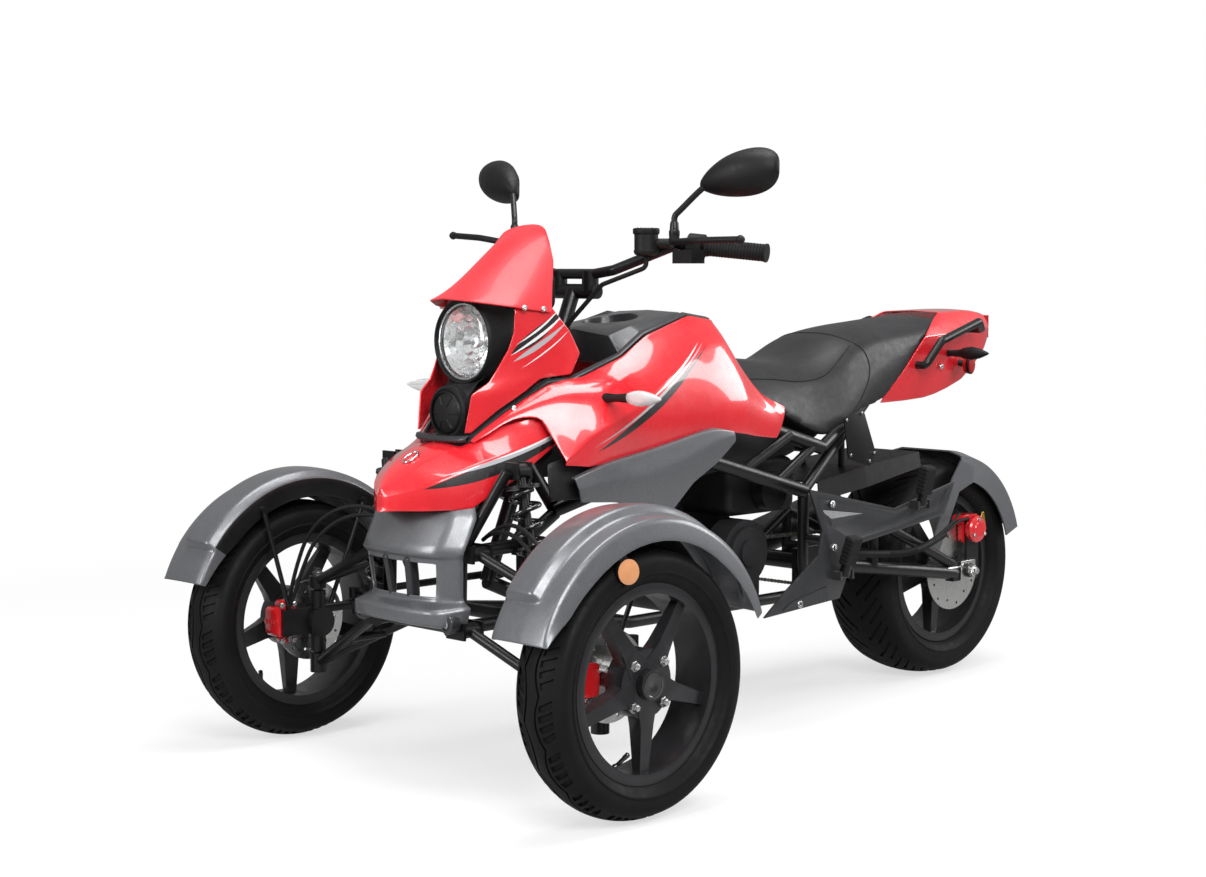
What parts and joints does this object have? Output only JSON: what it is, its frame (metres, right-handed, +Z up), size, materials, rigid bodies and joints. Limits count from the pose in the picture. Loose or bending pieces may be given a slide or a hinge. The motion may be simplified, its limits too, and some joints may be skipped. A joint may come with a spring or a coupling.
{
  "type": "motor trike",
  "caption": "Reverse motor trike with paired steered front wheels, a driven rear wheel, red bodywork, a stepped dual seat, handlebar steering and folding pegs",
  "frame": {"origin": "on the floor under the middle of the wheelbase and the middle of the width", "axes": "+X forward, +Y to the rider's left, +Z up"},
  "size_m": [2.186, 1.202, 1.277],
  "materials": {
    "red_gloss": "glossy",
    "grey_satin": "satin",
    "black_satin": "satin",
    "black_plastic": "matte",
    "alloy": "satin",
    "steel": "satin",
    "tyre": "matte",
    "seat_vinyl": "satin",
    "rubber": "matte",
    "clear": "glossy",
    "red_lens": "glossy",
    "caliper_red": "glossy",
    "white_plate": "satin"
  },
  "bodies": {
    "chassis": {"frame": "black_satin", "engine": "black_satin", "airbox": "black_plastic", "exhaust": "black_satin", "chain": "steel", "swingarm": "black_satin", "rear_caliper": "caliper_red", "rear_fender": "grey_satin", "rear_hugger": "black_plastic", "nose_cowl": "red_gloss", "lamp_housing": "black_plastic", "headlamp_lens": "clear", "headlamp_cowl": "red_gloss", "visor": "red_gloss", "instrument": "black_plastic", "tank_top": "grey_satin", "tank_covers": "red_gloss", "side_shrouds": "grey_satin", "front_bumper": "grey_satin", "seat": "seat_vinyl", "tail_cowl": "red_gloss", "tail_lamp": "red_lens", "grab_rails": "black_satin", "indicators": "black_plastic", "side_plate": "white_plate", "foot_panels": "grey_satin", "control_arms": "black_satin", "shock_dampers": "black_satin", "shock_springs": "black_satin"},
    "steering": {"handlebar": "black_satin", "grips": "rubber", "bar_controls": "black_plastic", "mirrors": "black_plastic", "control_cables": "rubber"},
    "knuckle_left": {"knuckle_left": "black_satin", "caliper_front_left": "caliper_red", "fender_front_left": "grey_satin"},
    "knuckle_right": {"knuckle_right": "black_satin", "caliper_front_right": "caliper_red", "fender_front_right": "grey_satin"},
    "wheel_front_left": {"tyre_front_left": "tyre", "rim_front_left": "black_satin", "disc_front_left": "steel"},
    "wheel_front_right": {"tyre_front_right": "tyre", "rim_front_right": "black_satin", "disc_front_right": "steel"},
    "wheel_rear": {"tyre_rear": "tyre", "rim_rear": "black_satin", "disc_rear": "steel"},
    "tie_rod_left": {"tie_rod_left": "black_satin"},
    "tie_rod_right": {"tie_rod_right": "black_satin"},
    "peg_rider_left": {"peg_rider_left": "black_satin"},
    "peg_rider_right": {"peg_rider_right": "black_satin"},
    "peg_passenger_left": {"peg_passenger_left": "black_satin"},
    "peg_passenger_right": {"peg_passenger_right": "black_satin"}
  },
  "joints": [
    {"name": "steer", "type": "hinge", "parent": "chassis", "child": "steering", "pos_m": [0.44, 0, 0.985], "axis": [-0.3846, 0, 0.9231], "range_deg": [-30, 30]},
    {"name": "knuckle_left_turn", "type": "hinge", "parent": "chassis", "child": "knuckle_left", "pos_m": [0.795, 0.44, 0.262], "axis": [0, 0, 1], "range_deg": [-24, 24]},
    {"name": "tie_rod_left_swing", "type": "hinge", "parent": "knuckle_left", "child": "tie_rod_left", "pos_m": [0.7, 0.432, 0.29], "axis": [0, 0, 1], "range_deg": [-24, 24]},
    {"name": "wheel_front_left_spin", "type": "hinge", "parent": "knuckle_left", "child": "wheel_front_left", "pos_m": [0.795, 0.525, 0.262], "axis": [0, 1, 0], "continuous": true},
    {"name": "knuckle_right_turn", "type": "hinge", "parent": "chassis", "child": "knuckle_right", "pos_m": [0.795, -0.44, 0.262], "axis": [0, 0, 1], "range_deg": [-24, 24]},
    {"name": "tie_rod_right_swing", "type": "hinge", "parent": "knuckle_right", "child": "tie_rod_right", "pos_m": [0.7, -0.432, 0.29], "axis": [0, 0, 1], "range_deg": [-24, 24]},
    {"name": "wheel_front_right_spin", "type": "hinge", "parent": "knuckle_right", "child": "wheel_front_right", "pos_m": [0.795, -0.525, 0.262], "axis": [0, 1, 0], "continuous": true},
    {"name": "wheel_rear_spin", "type": "hinge", "parent": "chassis", "child": "wheel_rear", "pos_m": [-0.795, 0, 0.275], "axis": [0, 1, 0], "continuous": true},
    {"name": "peg_rider_left_fold", "type": "hinge", "parent": "chassis", "child": "peg_rider_left", "pos_m": [-0.125, 0.292, 0.345], "axis": [-1, 0, 0], "range_deg": [0, 71]},
    {"name": "peg_rider_right_fold", "type": "hinge", "parent": "chassis", "child": "peg_rider_right", "pos_m": [-0.125, -0.292, 0.345], "axis": [1, 0, 0], "range_deg": [0, 71]},
    {"name": "peg_passenger_left_fold", "type": "hinge", "parent": "chassis", "child": "peg_passenger_left", "pos_m": [-0.41, 0.292, 0.482], "axis": [-1, 0, 0], "range_deg": [0, 77]},
    {"name": "peg_passenger_right_fold", "type": "hinge", "parent": "chassis", "child": "peg_passenger_right", "pos_m": [-0.41, -0.292, 0.482], "axis": [1, 0, 0], "range_deg": [0, 77]}
  ],
  "couplings": [
    {"joint": "knuckle_left_turn", "follows": "steer", "ratio": 0.8},
    {"joint": "tie_rod_left_swing", "follows": "steer", "ratio": -0.8},
    {"joint": "knuckle_right_turn", "follows": "steer", "ratio": 0.8},
    {"joint": "tie_rod_right_swing", "follows": "steer", "ratio": -0.8}
  ]
}
